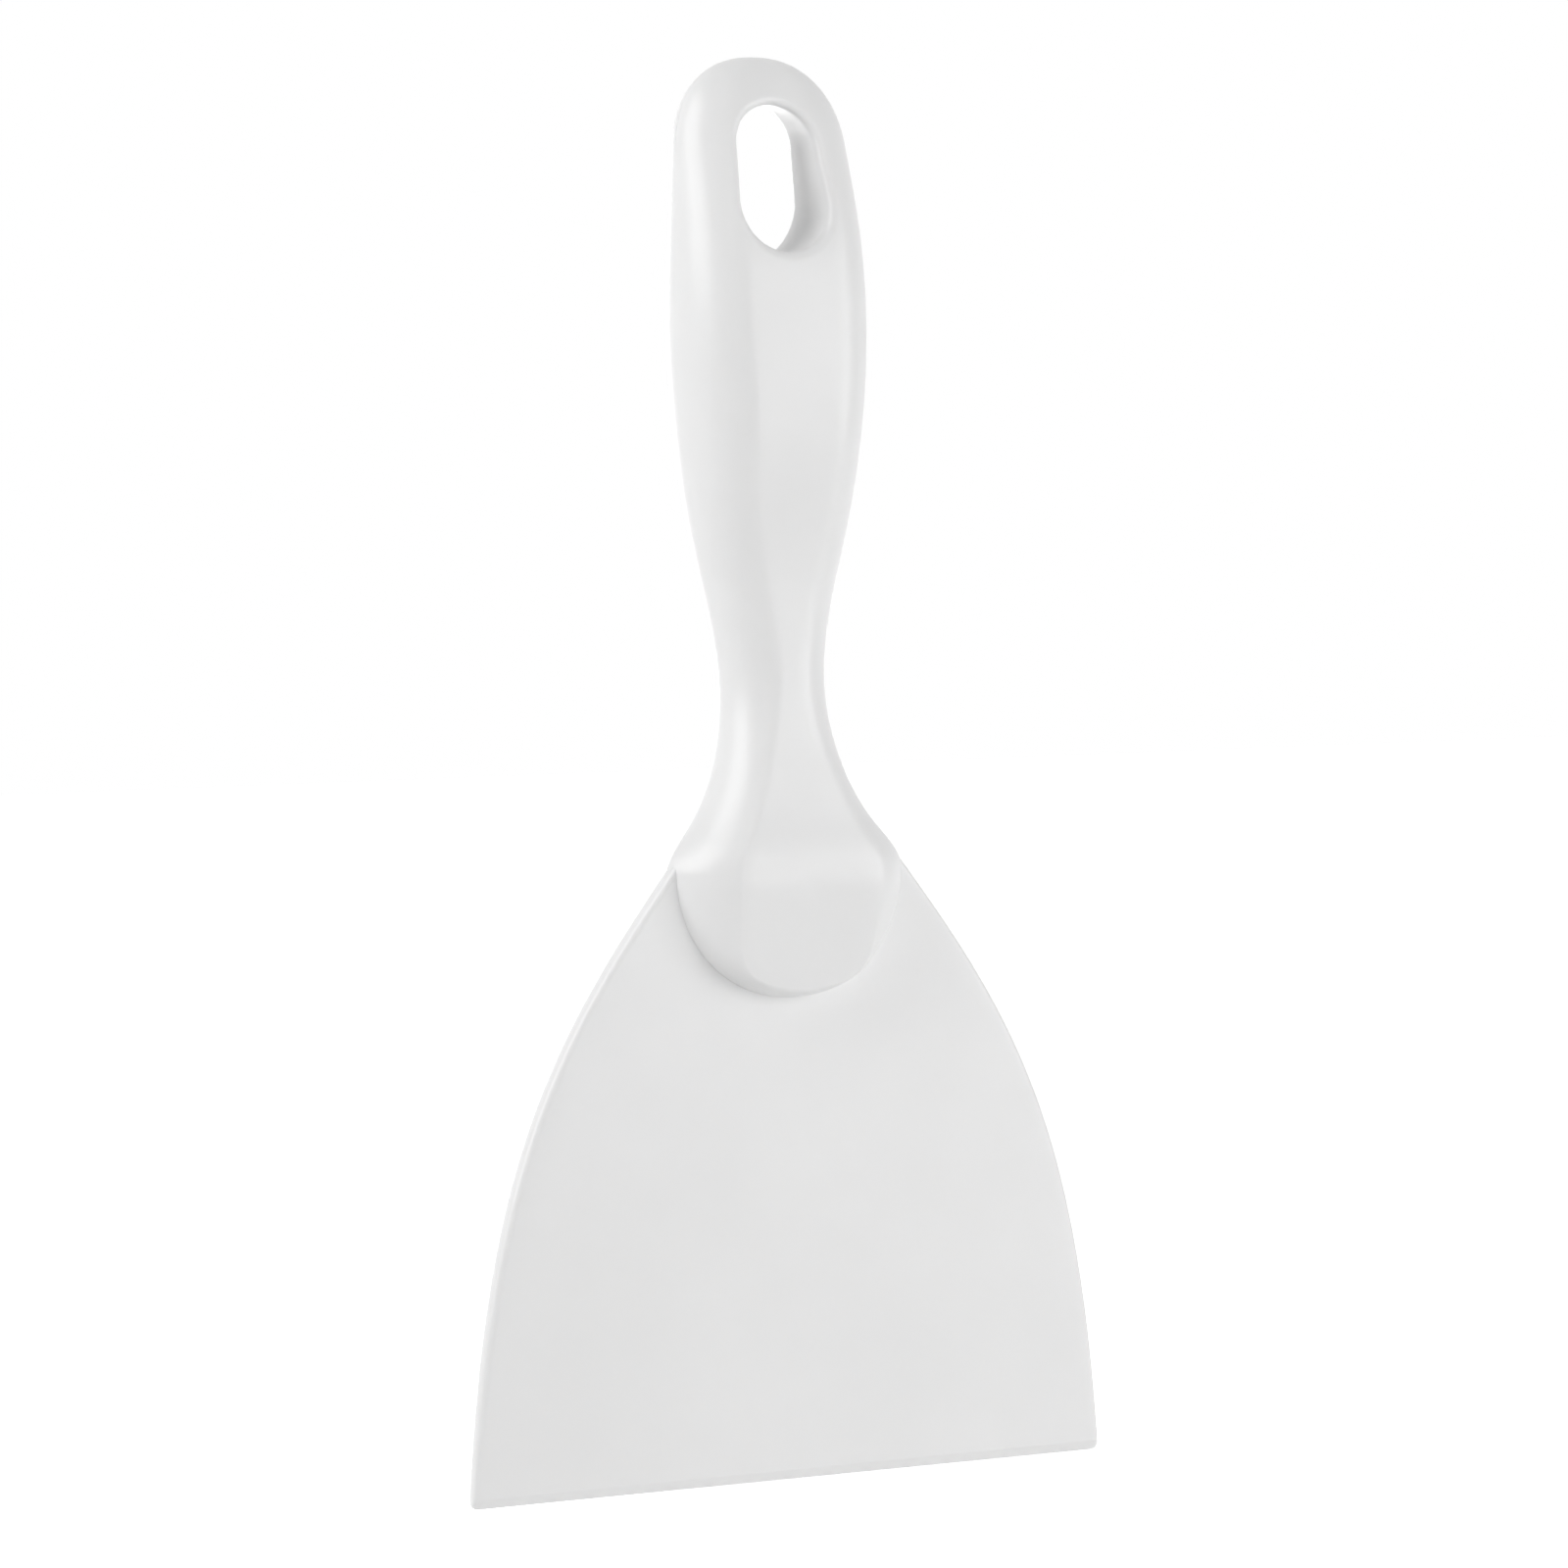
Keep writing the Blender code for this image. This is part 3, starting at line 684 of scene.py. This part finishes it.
def wrapped(tree, mesh, across, depth, height):
    """The mesh with its points moved into the part's frame, and merged where they meet."""
    point = tree.nodes.new("ShaderNodeCombineXYZ")
    tree.links.new(across.socket, point.inputs["X"])
    tree.links.new((depth - HOOK_DEPTH).socket, point.inputs["Y"])
    tree.links.new((height - HOOK_HEIGHT).socket, point.inputs["Z"])
    moved = tree.nodes.new("GeometryNodeSetPosition")
    tree.links.new(mesh, moved.inputs["Geometry"])
    tree.links.new(point.outputs[0], moved.inputs["Position"])
    merged = tree.nodes.new("GeometryNodeMergeByDistance")
    merged.inputs["Distance"].default_value = BLADE_MERGE
    tree.links.new(moved.outputs[0], merged.inputs["Geometry"])
    return merged.outputs[0]


def blade_tree(material):
    """Geometry Nodes for the blade: a grid wrapped into a plate whose sides follow one Bezier curve."""
    tree = bpy.data.node_groups.new("blade plate", "GeometryNodeTree")
    size = group_input(tree, BLADE_SIZES)
    mesh, column, row = ring_grid(tree)
    side, height = side_curve(size, side_share(size, row))
    half_width = corner_rounded(size, side, height)
    across, depth = ring_point(size, column, half_width, blade_thickness(size, height))

    # The first and the last row draw together, and so close the plate's ends
    open_row = (row * (row * -1 + BLADE_ROWS)).clamped()
    plate = wrapped(tree, mesh, across, depth * open_row, height)

    realized = tree.nodes.new("GeometryNodeRealizeInstances")
    tree.links.new(plate, realized.inputs[0])
    painted = tree.nodes.new("GeometryNodeSetMaterial")
    painted.inputs["Material"].default_value = material
    tree.links.new(realized.outputs[0], painted.inputs["Geometry"])
    result = tree.nodes.new("NodeGroupOutput")
    tree.links.new(painted.outputs[0], result.inputs["Mesh"])
    return tree


def mesh_from_tree(name, tree, values):
    """Runs a Geometry Nodes tree with these input values, and returns its result as a plain mesh object."""
    carrier = bpy.data.objects.new(name, bpy.data.meshes.new(name))
    bpy.context.scene.collection.objects.link(carrier)
    modifier = carrier.modifiers.new(name, "NODES")
    modifier.node_group = tree
    for item in tree.interface.items_tree:
        if item.in_out == "INPUT":
            modifier[item.identifier] = values[item.name]
    evaluated = carrier.evaluated_get(bpy.context.evaluated_depsgraph_get())
    made = bpy.data.meshes.new_from_object(evaluated)
    carrier.modifiers.remove(modifier)
    carrier.data = made
    return carrier


def make_blade(material):
    blade = mesh_from_tree("blade_plate", blade_tree(material), BLADE_SIZES)
    mesh = bmesh.new()
    mesh.from_mesh(blade.data)
    bmesh.ops.recalc_face_normals(mesh, faces=mesh.faces)
    mesh.to_mesh(blade.data)
    mesh.free()
    blade.data.shade_smooth()
    blade.data.set_sharp_from_angle(angle=BEVEL_ANGLE)
    return blade


def noise(tree, coordinates, scale, detail):
    node = tree.nodes.new("ShaderNodeTexNoise")
    node.inputs["Scale"].default_value = scale
    node.inputs["Detail"].default_value = detail
    tree.links.new(coordinates, node.inputs["Vector"])
    return node.outputs["Fac"]


def ranged(tree, value, low, high):
    """The value's middle half spread over a new range."""
    node = tree.nodes.new("ShaderNodeMapRange")
    node.inputs["From Min"].default_value = 0.25
    node.inputs["From Max"].default_value = 0.75
    node.inputs["To Min"].default_value = low
    node.inputs["To Max"].default_value = high
    tree.links.new(value, node.inputs["Value"])
    return node.outputs["Result"]


def add_clouds(tree, shader, coordinates, scale):
    """A faint cloudiness of the colour, and uneven gloss."""
    tint = tree.nodes.new("ShaderNodeMix")
    tint.data_type = "RGBA"
    tint.inputs["A"].default_value = (*(channel * DARK_CLOUD for channel in PLASTIC_COLOR), 1.0)
    tint.inputs["B"].default_value = (*(channel * PALE_CLOUD for channel in PLASTIC_COLOR), 1.0)
    cloud = noise(tree, coordinates, scale, detail=3.0)
    tree.links.new(ranged(tree, cloud, 0.0, 1.0), tint.inputs["Factor"])
    tree.links.new(tint.outputs["Result"], shader.inputs["Base Color"])
    gloss = noise(tree, coordinates, scale * GLOSS_FINENESS, detail=4.0)
    tree.links.new(ranged(tree, gloss, GLOSSIEST, DULLEST), shader.inputs["Roughness"])


def bump(tree, height, strength, distance):
    node = tree.nodes.new("ShaderNodeBump")
    node.inputs["Strength"].default_value = strength
    node.inputs["Distance"].default_value = distance
    tree.links.new(height, node.inputs["Height"])
    return node


def moulded_plastic(name, cloud_scale, grain_scale):
    """White satin plastic, faintly clouded, with slight waves and a fine grain from the mould."""
    material = bpy.data.materials.new(name)
    material.use_nodes = True
    tree = material.node_tree
    shader = tree.nodes["Principled BSDF"]
    shader.inputs["IOR"].default_value = PLASTIC_IOR
    shader.inputs["Subsurface Weight"].default_value = CLEARNESS
    shader.inputs["Subsurface Radius"].default_value = CLEAR_COLORS
    shader.inputs["Subsurface Scale"].default_value = CLEAR_DEPTH
    coordinates = tree.nodes.new("ShaderNodeTexCoord").outputs["Object"]
    add_clouds(tree, shader, coordinates, cloud_scale)

    grain = bump(tree, noise(tree, coordinates, grain_scale, detail=3.0), GRAIN_STRENGTH, GRAIN_DEPTH)
    waves = bump(tree, noise(tree, coordinates, cloud_scale, detail=1.0), WAVE_STRENGTH, WAVE_DEPTH)
    tree.links.new(grain.outputs["Normal"], waves.inputs["Normal"])
    tree.links.new(waves.outputs["Normal"], shader.inputs["Normal"])
    return material


def seen_directly(tree):
    """1 for what the camera sees straight, in a gloss or through glass, 0 for light that falls on things."""
    path = tree.nodes.new("ShaderNodeLightPath")
    total = Field(tree, path.outputs["Is Camera Ray"])
    total = total + Field(tree, path.outputs["Is Glossy Ray"])
    total = total + Field(tree, path.outputs["Is Transmission Ray"])
    return total.clamped()


def set_world():
    """White where it is seen, and a weaker even light on the part."""
    world = bpy.data.worlds.new("studio")
    world.use_nodes = True
    bpy.context.scene.world = world
    tree = world.node_tree
    shine = tree.nodes["Background"]
    shine.inputs["Color"].default_value = (1.0, 1.0, 1.0, 1.0)
    strength = seen_directly(tree) * (1 - AMBIENT) + AMBIENT
    tree.links.new(strength.socket, shine.inputs["Strength"])


def make_floor():
    """A wide pale floor some way below the part, seen as white apart from the part's shadow."""
    material = bpy.data.materials.new("floor")
    material.use_nodes = True
    tree = material.node_tree
    shader = tree.nodes["Principled BSDF"]
    shader.inputs["Base Color"].default_value = (*FLOOR_COLOR, 1.0)
    shader.inputs["Roughness"].default_value = FLOOR_ROUGHNESS
    shader.inputs["Emission Color"].default_value = (1.0, 1.0, 1.0, 1.0)
    tree.links.new((seen_directly(tree) * FLOOR_GLOW).socket, shader.inputs["Emission Strength"])
    data = bpy.data.meshes.new("floor")
    level = -HOOK_HEIGHT - FLOOR_DROP
    signs = ((-1, -1), (1, -1), (1, 1), (-1, 1))
    corners = [(across * FLOOR_REACH, along * FLOOR_REACH, level) for across, along in signs]
    data.from_pydata(corners, [], [(0, 1, 2, 3)])
    data.materials.append(material)
    floor = bpy.data.objects.new("floor", data)
    bpy.context.scene.collection.objects.link(floor)


def make_lamp(name, azimuth, elevation, distance, width, height, watts):
    data = bpy.data.lights.new(name, "AREA")
    data.shape = "RECTANGLE"
    data.size = width
    data.size_y = height
    data.energy = watts
    lamp = bpy.data.objects.new(name, data)
    azimuth, elevation = math.radians(azimuth), math.radians(elevation)
    level = math.cos(elevation)
    away = Vector((math.sin(azimuth) * level, -math.cos(azimuth) * level, math.sin(elevation)))
    lamp.location = LIT_POINT + away * distance
    lamp.rotation_euler = away.to_track_quat("Z", "Y").to_euler()
    bpy.context.scene.collection.objects.link(lamp)


def make_camera():
    data = bpy.data.cameras.new("camera")
    data.lens = LENS
    data.sensor_width = SENSOR_WIDTH
    camera = bpy.data.objects.new("camera", data)
    camera.location = CAMERA_PLACE
    camera.rotation_euler = Euler(CAMERA_TURN)
    bpy.context.scene.collection.objects.link(camera)
    bpy.context.scene.camera = camera


def main():
    make_camera()
    set_world()
    make_floor()
    for lamp in LAMPS:
        make_lamp(*lamp)
    bpy.context.scene.view_settings.view_transform = "Standard"

    blade = make_blade(moulded_plastic("blade plastic", BLADE_CLOUDS, BLADE_GRAIN))
    handle = make_handle(moulded_plastic("handle plastic", HANDLE_CLOUDS, HANDLE_GRAIN))
    for piece, node in ((blade, "blade"), (handle, "handle")):
        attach(piece, "root")
        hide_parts(node)


main()
